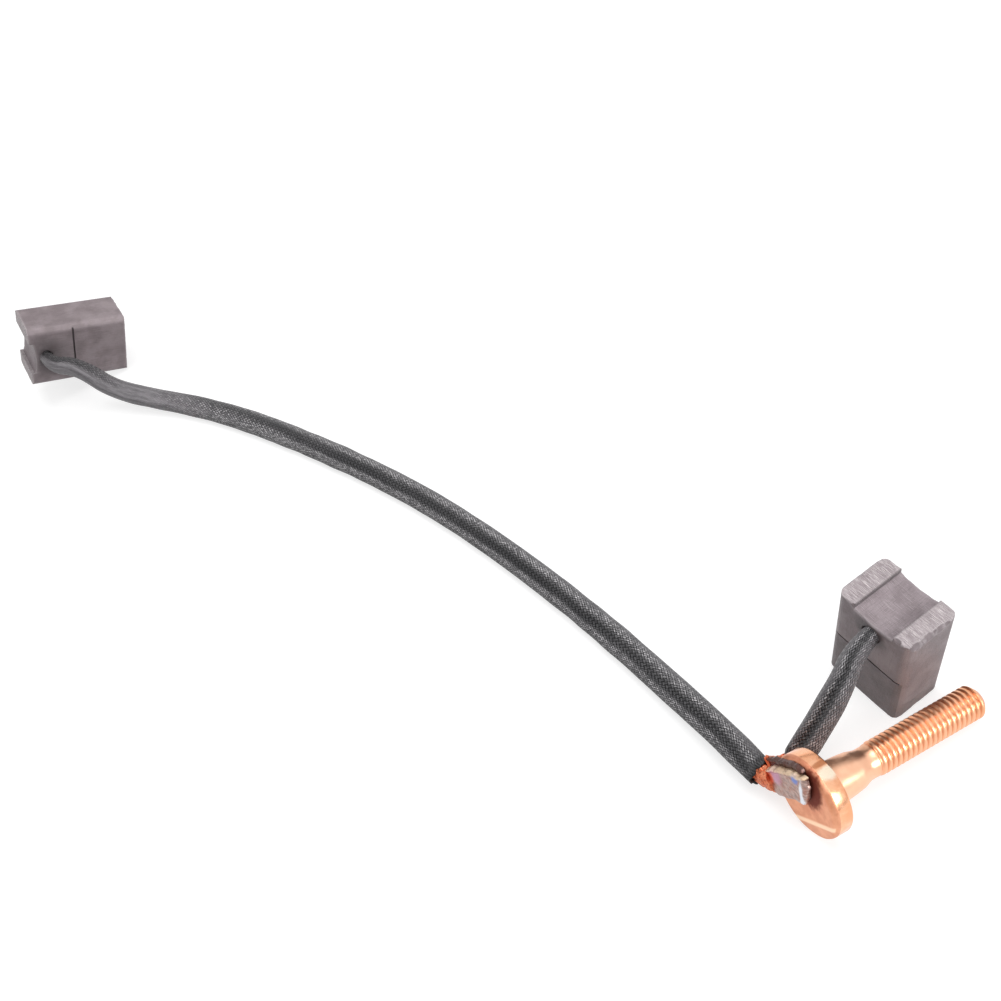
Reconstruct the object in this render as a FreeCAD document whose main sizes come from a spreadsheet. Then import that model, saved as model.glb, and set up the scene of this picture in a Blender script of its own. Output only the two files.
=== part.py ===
import FreeCAD, Part
import Sketcher
import math
import os

os.makedirs("parts", exist_ok=True)
doc = FreeCAD.newDocument("brush_pair")
V = FreeCAD.Vector

# Named sizes in millimetres and degrees
VALUES = [
    ("block_width", 20.8), ("block_depth", 14.8), ("block_length", 30.1),
    ("edge_round", 2.4), ("land_width", 4.9), ("groove_step", 1.1), ("groove_sag", 0.7),
    ("hole_radius", 2.3), ("hole_depth", 7.5), ("lead_drop_long", 4.5), ("lead_drop_short", 4.6),
    ("fill_start", 1.2), ("chip_side", 1.3), ("chip_run", 10.5), ("notch_side", 1.1), ("notch_run", 6.5),
    ("core_radius", 2.05), ("sleeve_radius", 2.85), ("sleeve_inside", 2.1),
    ("head_radius", 9.8), ("head_thick", 4.75), ("head_round", 1.4), ("head_break", 0.4),
    ("bevel_chord", 6.0), ("bevel_depth", 0.7), ("neck_root", 5.0), ("neck_mid", 4.6), ("neck_mid_at", 11.0),
    ("neck_low", 4.3), ("neck_low_at", 13.6), ("waist", 3.65), ("waist_at", 15.9),
    ("thread_radius", 3.96875), ("thread_start", 18.0), ("bolt_length", 48.9), ("tip_chamfer", 1.1),
    ("pad_long_thick", 2.0), ("pad_short_thick", 1.2), ("pad_tall", 8.4), ("pad_run", 10.4), ("pad_turn", -32.0),
    ("pad_foot_y", 8.6), ("pad_foot_z", -3.6), ("strip_tall", 8.0), ("strip_from", 0.8),
    ("strip_over", 8.6), ("strip_over_thick", 1.6), ("rim_gap", 0.02),
    ("bevel_tool_deep", 4.0), ("bevel_tool_wide", 30.0), ("bevel_tool_tall", 12.0),
    ("long_yaw", 21.161), ("long_pitch", -69.173), ("short_yaw", -64.926),
    ("bolt_yaw", 18.99), ("bolt_pitch", 7.42),
]
sheet = doc.addObject("Spreadsheet::Sheet", "Values")
for row, (name, number) in enumerate(VALUES, start=1):
    sheet.set("A%d" % row, name)
    sheet.set("B%d" % row, repr(number))
    sheet.setAlias("B%d" % row, name)
doc.recompute()
v = dict(VALUES)

# Where each block and the bolt head stand, from the ground up
LONG_AT = V(-86.52, 105.35, 9.72)
SHORT_AT = V(101.73, -74.83, 0.00)
BOLT_AT = V(71.54, -104.40, 10.30)

# Corner points of each lead, from inside its block to the bolt
LONG_ROUTE = [
    (-107.97, 94.48, 18.82),
    (-104.50, 85.52, 18.82),
    (-96.13, 84.76, 16.61),
    (-86.75, 79.96, 5.58),
    (-58.04, 67.45, 2.95),
    (-17.16, 31.31, 2.95),
    (14.91, -4.75, 2.95),
    (51.08, -61.58, 2.95),
    (65.14, -93.76, 5.70),
]
SHORT_ROUTE = [
    (99.56, -75.85, 25.50),
    (91.30, -79.71, 25.50),
    (84.33, -87.29, 18.29),
    (74.89, -92.24, 4.81),
]


def plane_of(body, role):
    return [o for o in body.Origin.OriginFeatures if o.Role == role][0]


def sketch_on(body, name, role, points=None, circle=None, arc=None):
    sk = body.newObject("Sketcher::SketchObject", name)
    sk.AttachmentSupport = [(plane_of(body, role), "")]
    sk.MapMode = "FlatFace"
    if circle:
        sk.addGeometry(Part.Circle(V(circle[0], circle[1], 0), V(0, 0, 1), circle[2]), False)
    if points:
        n = len(points)
        for i in range(n):
            a, b = points[i], points[(i + 1) % n]
            if arc is not None and i == arc[0]:
                mid = V(arc[1], arc[2], 0)
                sk.addGeometry(Part.Arc(V(a[0], a[1], 0), mid, V(b[0], b[1], 0)), False)
            else:
                sk.addGeometry(Part.LineSegment(V(a[0], a[1], 0), V(b[0], b[1], 0)), False)
    return sk


# A block stands on its contact end, width along X, lead face towards -Y
def block(name, drop, chip, notch):
    body = doc.addObject("PartDesign::Body", name)
    body.Label = name
    w, d, length = v["block_width"] / 2, v["block_depth"] / 2, v["block_length"]
    base = sketch_on(body, name + "_plan", "XY_Plane", [(-w, -d), (w, -d), (w, d), (-w, d)])
    for i in range(4):
        base.addConstraint(Sketcher.Constraint("Coincident", i, 2, (i + 1) % 4, 1))
    base.addConstraint([Sketcher.Constraint("Horizontal", 0), Sketcher.Constraint("Vertical", 1),
                        Sketcher.Constraint("Horizontal", 2), Sketcher.Constraint("Vertical", 3)])
    base.addConstraint(Sketcher.Constraint("Symmetric", 0, 1, 1, 2, -1, 1))
    wide = base.addConstraint(Sketcher.Constraint("DistanceX", 0, 1, 0, 2, v["block_width"]))
    deep = base.addConstraint(Sketcher.Constraint("DistanceY", 1, 1, 1, 2, v["block_depth"]))
    base.setExpression("Constraints[%d]" % wide, "Values.block_width")
    base.setExpression("Constraints[%d]" % deep, "Values.block_depth")
    pad = body.newObject("PartDesign::Pad", name + "_pad")
    pad.Profile = base
    pad.setExpression("Length", "Values.block_length")
    doc.recompute()
    tall = ["Edge%d" % (i + 1) for i, e in enumerate(pad.Shape.Edges)
            if abs(e.Vertexes[0].Point.z - e.Vertexes[-1].Point.z) > length / 2]
    rounded = body.newObject("PartDesign::Fillet", name + "_rounded")
    rounded.Base = (pad, tall)
    rounded.setExpression("Radius", "Values.edge_round")
    doc.recompute()
    # The shallow groove across the spring end
    g = w - v["land_width"]
    low = length - v["groove_step"]
    groove = sketch_on(body, name + "_groove", "XZ_Plane",
                       [(-g, length + 1), (-g, low), (g, low), (g, length + 1)],
                       arc=(1, 0, low - v["groove_sag"]))
    cut = body.newObject("PartDesign::Pocket", name + "_groove_cut")
    cut.Profile = groove
    cut.Type = 1
    cut.Midplane = True
    # The blind hole for the lead
    hole = sketch_on(body, name + "_hole", "XZ_Plane", circle=(0, length - v[drop], v["hole_radius"]))
    hole.setExpression("AttachmentOffset.Base.z", "Values.block_depth / 2")
    bore = body.newObject("PartDesign::Pocket", name + "_hole_cut")
    bore.Profile = hole
    bore.setExpression("Length", "Values.hole_depth")
    # Broken edges
    if chip:
        c = v["chip_side"]
        sk = sketch_on(body, name + "_chip", "XZ_Plane", [(w - c, length + 0.5), (w + 0.5, length + 0.5), (w + 0.5, length - c)])
        sk.setExpression("AttachmentOffset.Base.z", "Values.block_depth / 2")
        k = body.newObject("PartDesign::Pocket", name + "_chip_cut")
        k.Profile = sk
        k.setExpression("Length", "Values.chip_run")
    if notch:
        c = v["notch_side"]
        sk = sketch_on(body, name + "_notch", "XZ_Plane", [(w - c, -0.5), (w + 0.5, c), (w + 0.5, -0.5)])
        sk.setExpression("AttachmentOffset.Base.z", "-Values.block_depth / 2 + Values.notch_run")
        k = body.newObject("PartDesign::Pocket", name + "_notch_cut")
        k.Profile = sk
        k.setExpression("Length", "Values.notch_run")
    doc.recompute()
    return body


long_block = block("block_long", "lead_drop_long", False, True)
short_block = block("block_short", "lead_drop_short", True, False)
LONG_PLACE = FreeCAD.Placement(LONG_AT, FreeCAD.Rotation(v["long_yaw"], v["long_pitch"], 0))
SHORT_PLACE = FreeCAD.Placement(SHORT_AT, FreeCAD.Rotation(v["short_yaw"], 0, 0))
BOLT_PLACE = FreeCAD.Placement(BOLT_AT, FreeCAD.Rotation(v["bolt_yaw"], v["bolt_pitch"], 0))
long_block.Placement = LONG_PLACE
short_block.Placement = SHORT_PLACE

# The bolt is turned about its own X axis, front face at zero
bolt_body = doc.addObject("PartDesign::Body", "bolt_turned")
r, h, q = v["head_radius"], v["head_thick"], v["head_round"]
t, end, c = v["thread_radius"], v["bolt_length"], v["tip_chamfer"]
outline = [
    ("line", (0, 0), (0, r - q)),
    ("arc", (0, r - q), (q * (1 - math.sqrt(0.5)), r - q * (1 - math.sqrt(0.5))), (q, r)),
    ("line", (q, r), (h - v["head_break"], r)),
    ("line", (h - v["head_break"], r), (h, r - v["head_break"])),
    ("line", (h, r - v["head_break"]), (h, v["neck_root"] + 0.8)),
    ("line", (h, v["neck_root"] + 0.8), (h + 0.8, v["neck_root"])),
    ("line", (h + 0.8, v["neck_root"]), (v["neck_mid_at"], v["neck_mid"])),
    ("line", (v["neck_mid_at"], v["neck_mid"]), (v["neck_low_at"], v["neck_low"])),
    ("line", (v["neck_low_at"], v["neck_low"]), (v["waist_at"], v["waist"])),
    ("line", (v["waist_at"], v["waist"]), (v["thread_start"], v["waist"])),
    ("line", (v["thread_start"], v["waist"]), (v["thread_start"], t)),
    ("line", (v["thread_start"], t), (end - c, t)),
    ("line", (end - c, t), (end, t - c)),
    ("line", (end, t - c), (end, 0)),
    ("line", (end, 0), (0, 0)),
]
turned = bolt_body.newObject("Sketcher::SketchObject", "bolt_outline")
turned.AttachmentSupport = [(plane_of(bolt_body, "XY_Plane"), "")]
turned.MapMode = "FlatFace"
for item in outline:
    p = [V(x, y, 0) for x, y in item[1:]]
    turned.addGeometry(Part.Arc(*p) if item[0] == "arc" else Part.LineSegment(*p), False)
spin = bolt_body.newObject("PartDesign::Revolution", "bolt_spin")
spin.Profile = turned
spin.ReferenceAxis = (turned, ["H_Axis"])
spin.Angle = 360
doc.recompute()

# A slanting cut leaves the bevel on the low front side of the head
bevel = doc.addObject("Part::Box", "bevel_tool")
bevel.setExpression("Length", "Values.bevel_tool_deep")
bevel.setExpression("Width", "Values.bevel_tool_wide")
bevel.setExpression("Height", "Values.bevel_tool_tall")
slope = math.degrees(math.atan2(v["bevel_depth"], v["head_radius"] - v["bevel_chord"]))
turn_in = FreeCAD.Rotation(V(1, 0, 0), -45)
tip_back = FreeCAD.Rotation(V(0, 1, 0), slope)
tool_rot = turn_in.multiply(tip_back)
back_off = V(-v["bevel_tool_deep"], -v["bevel_tool_wide"] / 2, -v["bevel_tool_tall"])
corner = tool_rot.multVec(back_off) + turn_in.multVec(V(0, 0, -v["bevel_chord"]))
bevel.Placement = FreeCAD.Placement(corner, tool_rot)
bolt = doc.addObject("Part::Cut", "terminal_bolt")
bolt.Label = "terminal_bolt"
bolt.Base = bolt_body
bolt.Tool = bevel
bolt.Placement = BOLT_PLACE
doc.recompute()


# A lead's centreline: straight runs joined by tangent arcs
def centreline(points, label, skip=0.0):
    pts = [V(*p) for p in points]
    first = pts[1] - pts[0]
    first.normalize()
    edges, radii, at = [], [], pts[0] + first * skip
    for i in range(1, len(pts) - 1):
        a, b = pts[i] - pts[i - 1], pts[i + 1] - pts[i]
        run = min(a.Length, b.Length)
        turn = a.getAngle(b)
        d = 0.45 * run
        radius = d / math.tan(turn / 2)
        radii.append(round(radius, 1))
        a.normalize()
        b.normalize()
        start, stop = pts[i] - a * d, pts[i] + b * d
        inward = b - a
        inward.normalize()
        mid = pts[i] + inward * (math.hypot(radius, d) - radius)
        edges.append(Part.LineSegment(at, start).toShape())
        edges.append(Part.Arc(start, mid, stop).toShape())
        at = stop
    edges.append(Part.LineSegment(at, pts[-1]).toShape())
    wire = Part.Wire(edges)
    print(label, "length", round(wire.Length, 1), "radii", radii)
    return wire


def ring(points, radius):
    along = V(*points[1]) - V(*points[0])
    return Part.Wire(Part.Circle(V(*points[0]), along, radius).toShape())


def sweep(wire, profile):
    solid = wire.makePipeShell([profile], True, False)
    if solid.ShapeType != "Solid":
        solid = Part.Solid(solid)
    return solid


# A flat rectangle across a pad's own Y axis
def square_ring(place, s0, y0, ds, dz):
    corners = ((s0 - ds, -dz), (s0 + ds, -dz), (s0 + ds, dz), (s0 - ds, dz))
    p = [place.multVec(V(s, y0, z)) for s, z in corners]
    return Part.makePolygon(p + [p[0]])


def end_circle(points, radius):
    last, along = V(*points[-1]), V(*points[-1]) - V(*points[-2])
    along.normalize()
    return Part.Wire(Part.Circle(last, along, radius).toShape())


def solid_node(name, shape):
    node = doc.addObject("Part::Feature", name)
    node.Label = name
    node.Shape = shape
    return node


IN_HOLE = 5.02
core = v["core_radius"]
nodes = [long_block, short_block, bolt]
for name, route, which in (("long", LONG_ROUTE, 0), ("short", SHORT_ROUTE, 1)):
    wire = centreline(route, name)
    rope = sweep(wire, ring(route, core))
    print(name, "core volume", round(rope.Volume, 1), "section x length", round(math.pi * core ** 2 * wire.Length, 1))
    cover_wire = centreline(route, name + " sleeve", IN_HOLE)
    mouth = [cover_wire.Vertexes[0].Point, V(*route[1])]
    skin = sweep(cover_wire, ring(mouth, v["sleeve_radius"]))
    hollow = sweep(cover_wire, ring(mouth, v["sleeve_inside"]))
    sleeve = skin.cut(hollow)
    if which == 0:
        s1 = -v["pad_short_thick"]
        s0 = s1 - v["pad_long_thick"]
        mid, half = (s0 + s1) / 2, (s1 - s0) / 2
        foot = FreeCAD.Placement(V(0, v["pad_foot_y"], v["pad_foot_z"]), FreeCAD.Rotation(V(1, 0, 0), v["pad_turn"]))
        foot = BOLT_PLACE.multiply(foot)
        tail = Part.makeLoft([end_circle(route, core), square_ring(foot, mid, 0, half, v["pad_tall"] / 2)], True, True)
        flat = Part.makeBox(2 * half, v["pad_run"], v["pad_tall"], V(s0, -v["pad_run"], -v["pad_tall"] / 2))
        flat.Placement = foot
        braid = rope.fuse([tail, flat])
    else:
        th = v["pad_short_thick"]
        rim = v["head_radius"] + v["rim_gap"]
        low = -v["strip_tall"] / 2
        over = Part.makeBox(v["strip_over"] + th, v["strip_over_thick"], v["strip_tall"], V(-th, rim, low))
        flat = Part.makeBox(th, rim - v["strip_from"], v["strip_tall"], V(-th, v["strip_from"], low))
        over.Placement = BOLT_PLACE.multiply(over.Placement)
        flat.Placement = BOLT_PLACE.multiply(flat.Placement)
        braid = rope.fuse([over, flat])
    braid = braid.removeSplitter()
    sleeve = sleeve.cut(braid)
    sleeve = max(sleeve.Solids, key=lambda piece: piece.Volume)
    nodes.append(solid_node("braid_" + name, braid))
    nodes.append(solid_node("sleeve_" + name, sleeve))
    # the tamped ring that holds the braid in its hole
    place = LONG_PLACE if which == 0 else SHORT_PLACE
    height = v["block_length"] - (v["lead_drop_long"] if which == 0 else v["lead_drop_short"])
    fill = Part.makeCylinder(v["hole_radius"], v["hole_depth"] - v["fill_start"],
                             V(0, -v["block_depth"] / 2 + v["fill_start"], height), V(0, 1, 0))
    fill.Placement = place.multiply(fill.Placement)
    nodes.append(solid_node("tamp_" + name, fill.cut(rope)))
doc.recompute()

bad = [o.Name for o in doc.Objects if "Invalid" in o.State or "Error" in o.State]
bad += [n.Label for n in nodes if not n.Shape.isValid() or n.Shape.Volume <= 0]
if bad:
    raise RuntimeError("not built cleanly: " + ", ".join(bad))
for n in nodes:
    b = n.Shape.BoundBox
    print(n.Label, "solids", len(n.Shape.Solids), "volume", round(n.Shape.Volume, 1),
          "box", [round(x, 2) for x in (b.XMin, b.YMin, b.ZMin, b.XMax, b.YMax, b.ZMax)])
    n.Shape.exportStep("parts/" + n.Label + ".step")
doc.saveAs("brush_pair.FCStd")
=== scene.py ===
"""The looks of a pair of carbon brushes on braided leads that share one terminal bolt."""

import math

import bmesh
import bpy
import numpy as np
from mathutils import Matrix, Vector, noise


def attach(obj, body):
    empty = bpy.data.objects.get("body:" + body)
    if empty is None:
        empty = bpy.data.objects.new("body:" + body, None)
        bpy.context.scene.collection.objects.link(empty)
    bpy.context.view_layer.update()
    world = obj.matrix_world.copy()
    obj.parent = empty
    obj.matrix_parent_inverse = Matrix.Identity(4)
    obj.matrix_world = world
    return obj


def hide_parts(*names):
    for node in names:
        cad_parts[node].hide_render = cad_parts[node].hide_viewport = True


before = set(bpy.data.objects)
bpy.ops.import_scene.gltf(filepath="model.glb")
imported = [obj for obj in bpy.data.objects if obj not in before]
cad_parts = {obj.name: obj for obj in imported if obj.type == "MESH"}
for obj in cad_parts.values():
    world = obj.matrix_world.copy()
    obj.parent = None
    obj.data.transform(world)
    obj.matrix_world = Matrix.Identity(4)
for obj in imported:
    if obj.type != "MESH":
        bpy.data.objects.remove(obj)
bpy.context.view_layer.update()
MM = 0.001

# Where the parts stand, in millimetres and degrees, as in the part's source
LONG_AT, LONG_YAW, LONG_PITCH = (-86.52, 105.35, 9.72), 21.161, -69.173
SHORT_AT, SHORT_YAW, SHORT_PITCH = (101.73, -74.83, 0.00), -64.926, 0.0
BOLT_AT, BOLT_YAW, BOLT_PITCH = (71.54, -104.40, 10.30), 18.99, 7.42

# Sizes of a block, in millimetres
HALF_WIDTH, HALF_DEPTH, LENGTH = 10.4, 7.4, 30.1
HALF_PLAN = np.array([HALF_WIDTH, HALF_DEPTH])
EDGE_ROUND = 2.4
GROOVE_HALF, GROOVE_STEP, GROOVE_SAG, GROOVE_WALL = 5.5, 1.1, 0.7, 0.06
HOLE_RADIUS, HOLE_DENT = 2.3, 2.6
LONG_DROP, SHORT_DROP = 4.5, 4.6
SLIT_HALF, SLIT_DEPTH, SLIT_WALL = 0.2, 0.7, 0.08
BLOCK_CUT, BLOCK_CUT_UP = 0.3, 0.33  # the skin's squares

# Sizes of the bolt in millimetres, measured from the front of its head along the axis
HEAD_RADIUS, HEAD_THICK, HEAD_ROUND = 9.8, 4.75, 1.4
BEVEL_CHORD, BEVEL_DEPTH = 6.0, 0.7
BEVEL_SIDE = Vector((0, -1, -1)).normalized()
THREAD_RADIUS, THREAD_START, BOLT_LENGTH = 3.96875, 18.0, 48.9
THREAD_PITCH, THREAD_DEPTH, THREAD_CUTS = 1.411, 0.46, 12
TIP_CHAMFER = 1.25
BOLT_AROUND = 72
BOLT_NECK = [  # how far along, radius
    (8.5, 4.78), (11.0, 4.6), (13.0, 4.36), (13.7, 4.25), (14.1, 4.1), (15.0, 3.85),
    (15.5, 3.72), (15.8, 3.66), (16.2, 3.65), (17.7, 3.65),
]

# Corner points of the leads in millimetres, from inside each block to the bolt
LONG_ROUTE = [
    (-107.97, 94.48, 18.82),
    (-104.50, 85.52, 18.82),
    (-96.13, 84.76, 16.61),
    (-86.75, 79.96, 5.58),
    (-58.04, 67.45, 2.95),
    (-17.16, 31.31, 2.95),
    (14.91, -4.75, 2.95),
    (51.08, -61.58, 2.95),
    (65.14, -93.76, 5.70),
]
SHORT_ROUTE = [
    (99.56, -75.85, 25.50),
    (91.30, -79.71, 25.50),
    (84.33, -87.29, 18.29),
    (74.89, -92.24, 4.81),
]
LEAD_IN_HOLE, TUBE_IN_HOLE = 5.02, 3.0  # how far a route and its sleeve reach into the hole

# The sleeves' weave and the bare braid: strands each way round, and millimetres per crossing
WEAVE_ENDS, WEAVE_STEP, WEAVE_RELIEF = 30, 0.62, 0.09
BRAID_ENDS, BRAID_STEP, BRAID_AROUND = 7, 1.5, 60
ROPE_INSIDE = 6  # how far inside its sleeve a bare rope starts
FLOOR_GAP, FLOOR_LEAST = 0.12, 0.03  # where a lying sleeve's oval ends, and its lowest strands
CORD_POINT = 6  # one in so many of the line's points goes into a path along the sleeve's centre

# Camera, in metres and degrees, with its sensor and lens in millimetres
CAMERA_AT = Vector((0.02338, -0.20103, 0.24624))
CAMERA_PITCH, CAMERA_ROLL = 50.160, -13.511
SENSOR, LENS = 36, 41.015

# Floor and lights, in metres and watts
FLOOR_HALF, FLOOR_GREY = 3.0, 0.38
GLOW_NEAR, GLOW_FAR = 0.74, 1.0  # the floor's own light for the camera, near and far
ROOM_LIGHT = 0.36
TENT_DARK, TENT_BRIGHT = 0.48, 0.98  # what polished metal sees low down and above
LAMP_AIM = Vector((0.02, 0.0, 0.0))
LAMPS = (  # name, place, size, power
    ("overhead", (0.05, 0.10, 1.2), 0.9, 9.0),
    ("front_right", (0.9, -0.9, 0.7), 0.6, 8.5),
)
WHITE = (1, 1, 1, 1)


def placement(at, yaw, pitch):
    """A part's place in the row frame, in metres."""
    turn = Matrix.Rotation(math.radians(yaw), 4, "Z")
    tip = Matrix.Rotation(math.radians(pitch), 4, "Y")
    return Matrix.Translation(Vector(at) * MM) @ turn @ tip


LONG_PLACE = placement(LONG_AT, LONG_YAW, LONG_PITCH)
SHORT_PLACE = placement(SHORT_AT, SHORT_YAW, SHORT_PITCH)
BOLT_PLACE = placement(BOLT_AT, BOLT_YAW, BOLT_PITCH)
ROW_PLACE = Matrix.Identity(4)


# ---- Camera, floor and lights


def add_object(name, data):
    """An object in the scene for a mesh, a camera, a light or a curve."""
    piece = bpy.data.objects.new(name, data)
    bpy.context.scene.collection.objects.link(piece)
    return piece


def add_camera():
    """A camera that looks down over the row, rolled to one side."""
    pitch, roll = math.radians(CAMERA_PITCH), math.radians(CAMERA_ROLL)
    ahead = Vector((0, math.cos(pitch), -math.sin(pitch)))
    level = Vector((1, 0, 0))
    rise = level.cross(ahead)
    right = math.cos(roll) * level + math.sin(roll) * rise
    up = -math.sin(roll) * level + math.cos(roll) * rise
    data = bpy.data.cameras.new("camera")
    data.sensor_width = SENSOR
    data.lens = LENS
    data.clip_start = 0.01
    camera = add_object("camera", data)
    turn = Matrix((right, up, -ahead)).transposed().to_4x4()
    camera.matrix_world = Matrix.Translation(CAMERA_AT) @ turn
    bpy.context.scene.camera = camera


def add_lamp(name, at, size, power):
    """A round soft light that is aimed at the row."""
    data = bpy.data.lights.new(name, "AREA")
    data.shape = "DISK"
    data.size = size
    data.energy = power
    lamp = add_object(name, data)
    lamp.location = at
    lamp.rotation_euler = (LAMP_AIM - Vector(at)).to_track_quat("-Z", "Y").to_euler()


class Shader:
    """Short calls that add nodes to one material."""

    def __init__(self, name, holder=None):
        if holder is None:
            holder = bpy.data.materials.new(name)
        self.material = holder
        holder.use_nodes = True
        self.nodes = holder.node_tree.nodes
        self.links = holder.node_tree.links
        self.nodes.clear()

    def put(self, socket, value):
        if isinstance(value, bpy.types.NodeSocket):
            self.links.new(value, socket)
        else:
            socket.default_value = value

    def add(self, kind, settings=None, **inputs):
        node = self.nodes.new("ShaderNode" + kind)
        for name, value in (settings or {}).items():
            setattr(node, name, value)
        for name, value in inputs.items():
            self.put(node.inputs[name.replace("_", " ")], value)
        return node

    def math(self, operation, *values):
        node = self.add("Math", {"operation": operation})
        for socket, value in zip(node.inputs, values):
            self.put(socket, value)
        return node.outputs[0]

    def times(self, first, second):
        return self.math("MULTIPLY", first, second)

    def plus(self, first, second):
        return self.math("ADD", first, second)

    def length(self, vector):
        return self.add("VectorMath", {"operation": "LENGTH"}, Vector=vector).outputs["Value"]

    def mix(self, amount, low, high, blend="MIX"):
        node = self.add("Mix", {"data_type": "RGBA", "blend_type": blend})
        self.put(node.inputs[0], amount)
        self.put(node.inputs[6], low)
        self.put(node.inputs[7], high)
        return node.outputs[2]

    def coats(self, base, *layers):
        """Paints over base: a layer is an amount, its ramp's four values, and a colour."""
        for amount, low, high, to_low, to_high, tone in layers:
            base = self.mix(self.ramp(amount, low, high, to_low, to_high), base, colour(*tone))
        return base

    def ramp(self, amount, low, high, to_low=0.0, to_high=1.0):
        node = self.add("MapRange", {"interpolation_type": "SMOOTHSTEP"})
        for socket, value in zip(node.inputs, (amount, low, high, to_low, to_high)):
            self.put(socket, value)
        return node.outputs[0]

    def own(self):
        """The piece's own millimetres."""
        return self.add("Attribute", {"attribute_name": "own"}).outputs["Vector"]

    def mark(self, name):
        """A value from 0 to 1 that the mesh carries at its points."""
        return self.add("Attribute", {"attribute_name": name}).outputs["Fac"]

    def local(self, scale=(1, 1, 1)):
        """The piece's own millimetres, stretched by scale."""
        return self.add("Mapping", Vector=self.own(), Scale=scale).outputs[0]

    def spot(self, centre, radii, tilt=0.0, soft=0.35, ragged=0.5):
        """One inside an egg shape in the piece's own millimetres, fading at its ragged edge."""
        node = self.add(
            "Mapping", {"vector_type": "TEXTURE"},
            Vector=self.own(), Location=centre, Rotation=(math.radians(tilt), 0, 0), Scale=radii,
        )
        uneven = self.times(self.math("SUBTRACT", self.noise(self.own(), 0.9), 0.5), ragged)
        far = self.plus(self.length(node.outputs[0]), uneven)
        return self.ramp(far, 1 - soft, 1 + soft, 1.0, 0.0)

    def noise(self, where, scale, detail=3.0, rough=0.55):
        node = self.add("TexNoise", Vector=where, Scale=scale, Detail=detail, Roughness=rough)
        return node.outputs["Fac"]

    def bump(self, height, distance, strength=1.0):
        node = self.add("Bump", Strength=strength, Distance=distance * MM, Height=height)
        return node.outputs[0]

    def principled(self, base, rough, shape, metal=0.0, sheen=0.0):
        node = self.add("BsdfPrincipled", Base_Color=base, Roughness=rough, Normal=shape)
        node.inputs["Metallic"].default_value = metal
        node.inputs["Sheen Weight"].default_value = sheen
        node.inputs["Sheen Roughness"].default_value = 0.35
        return self.finish(node.outputs[0])

    def finish(self, surface):
        output = self.nodes.new("ShaderNodeOutputMaterial")
        self.links.new(surface, output.inputs["Surface"])
        return self.material


def colour(red, green, blue):
    """A colour as a screen shows it, 0 to 255, turned to linear light."""
    parts = [c / 255 for c in (red, green, blue)]
    return tuple(c / 12.92 if c < 0.04045 else ((c + 0.055) / 1.055) ** 2.4 for c in parts) + (1.0,)


def floor_material():
    """Pale floor: it takes soft shadows, and to the camera it reads as white."""
    s = Shader("floor")
    path = s.add("LightPath")
    seen = s.math("MAXIMUM", path.outputs["Is Camera Ray"], path.outputs["Is Glossy Ray"])
    seen = s.math("MAXIMUM", seen, path.outputs["Is Transmission Ray"])
    grey = (FLOOR_GREY, FLOOR_GREY, FLOOR_GREY, 1)
    far = s.length(s.add("TexCoord").outputs["Object"])
    strength = s.times(seen, s.ramp(far, 0.3, 1.5, GLOW_NEAR, GLOW_FAR))
    both = s.add("AddShader")
    s.put(both.inputs[0], s.add("BsdfDiffuse", Color=grey).outputs[0])
    s.put(both.inputs[1], s.add("Emission", Color=WHITE, Strength=strength).outputs[0])
    return s.finish(both.outputs[0])


def add_floor():
    """The floor that the row lies on. It is there for pictures, and is no piece of the row."""
    mesh = bpy.data.meshes.new("floor")
    h = FLOOR_HALF
    mesh.from_pydata([(-h, -h, 0), (h, -h, 0), (h, h, 0), (-h, h, 0)], [], [(0, 1, 2, 3)])
    mesh.materials.append(floor_material())
    floor = add_object("floor", mesh)


def add_world():
    """Soft light all round. Polished metal sees a bright tent over a darker band low down."""
    world = bpy.data.worlds.new("studio")
    bpy.context.scene.world = world
    s = Shader("studio", world)
    path = s.add("LightPath")
    height = s.add("SeparateXYZ", Vector=s.add("TexCoord").outputs["Generated"]).outputs[2]
    tent = s.ramp(height, 0.03, 0.16, TENT_DARK, TENT_BRIGHT)

    def choose(ray, otherwise, strength):
        pick = s.add("MixShader")
        s.put(pick.inputs[0], path.outputs[ray])
        s.put(pick.inputs[1], otherwise)
        s.put(pick.inputs[2], s.add("Background", Color=WHITE, Strength=strength).outputs[0])
        return pick.outputs[0]

    light = s.add("Background", Color=WHITE, Strength=ROOM_LIGHT).outputs[0]
    last = choose("Is Camera Ray", choose("Is Glossy Ray", light, tent), 1.0)
    s.links.new(last, s.nodes.new("ShaderNodeOutputWorld").inputs["Surface"])


# ---- Materials


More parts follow.
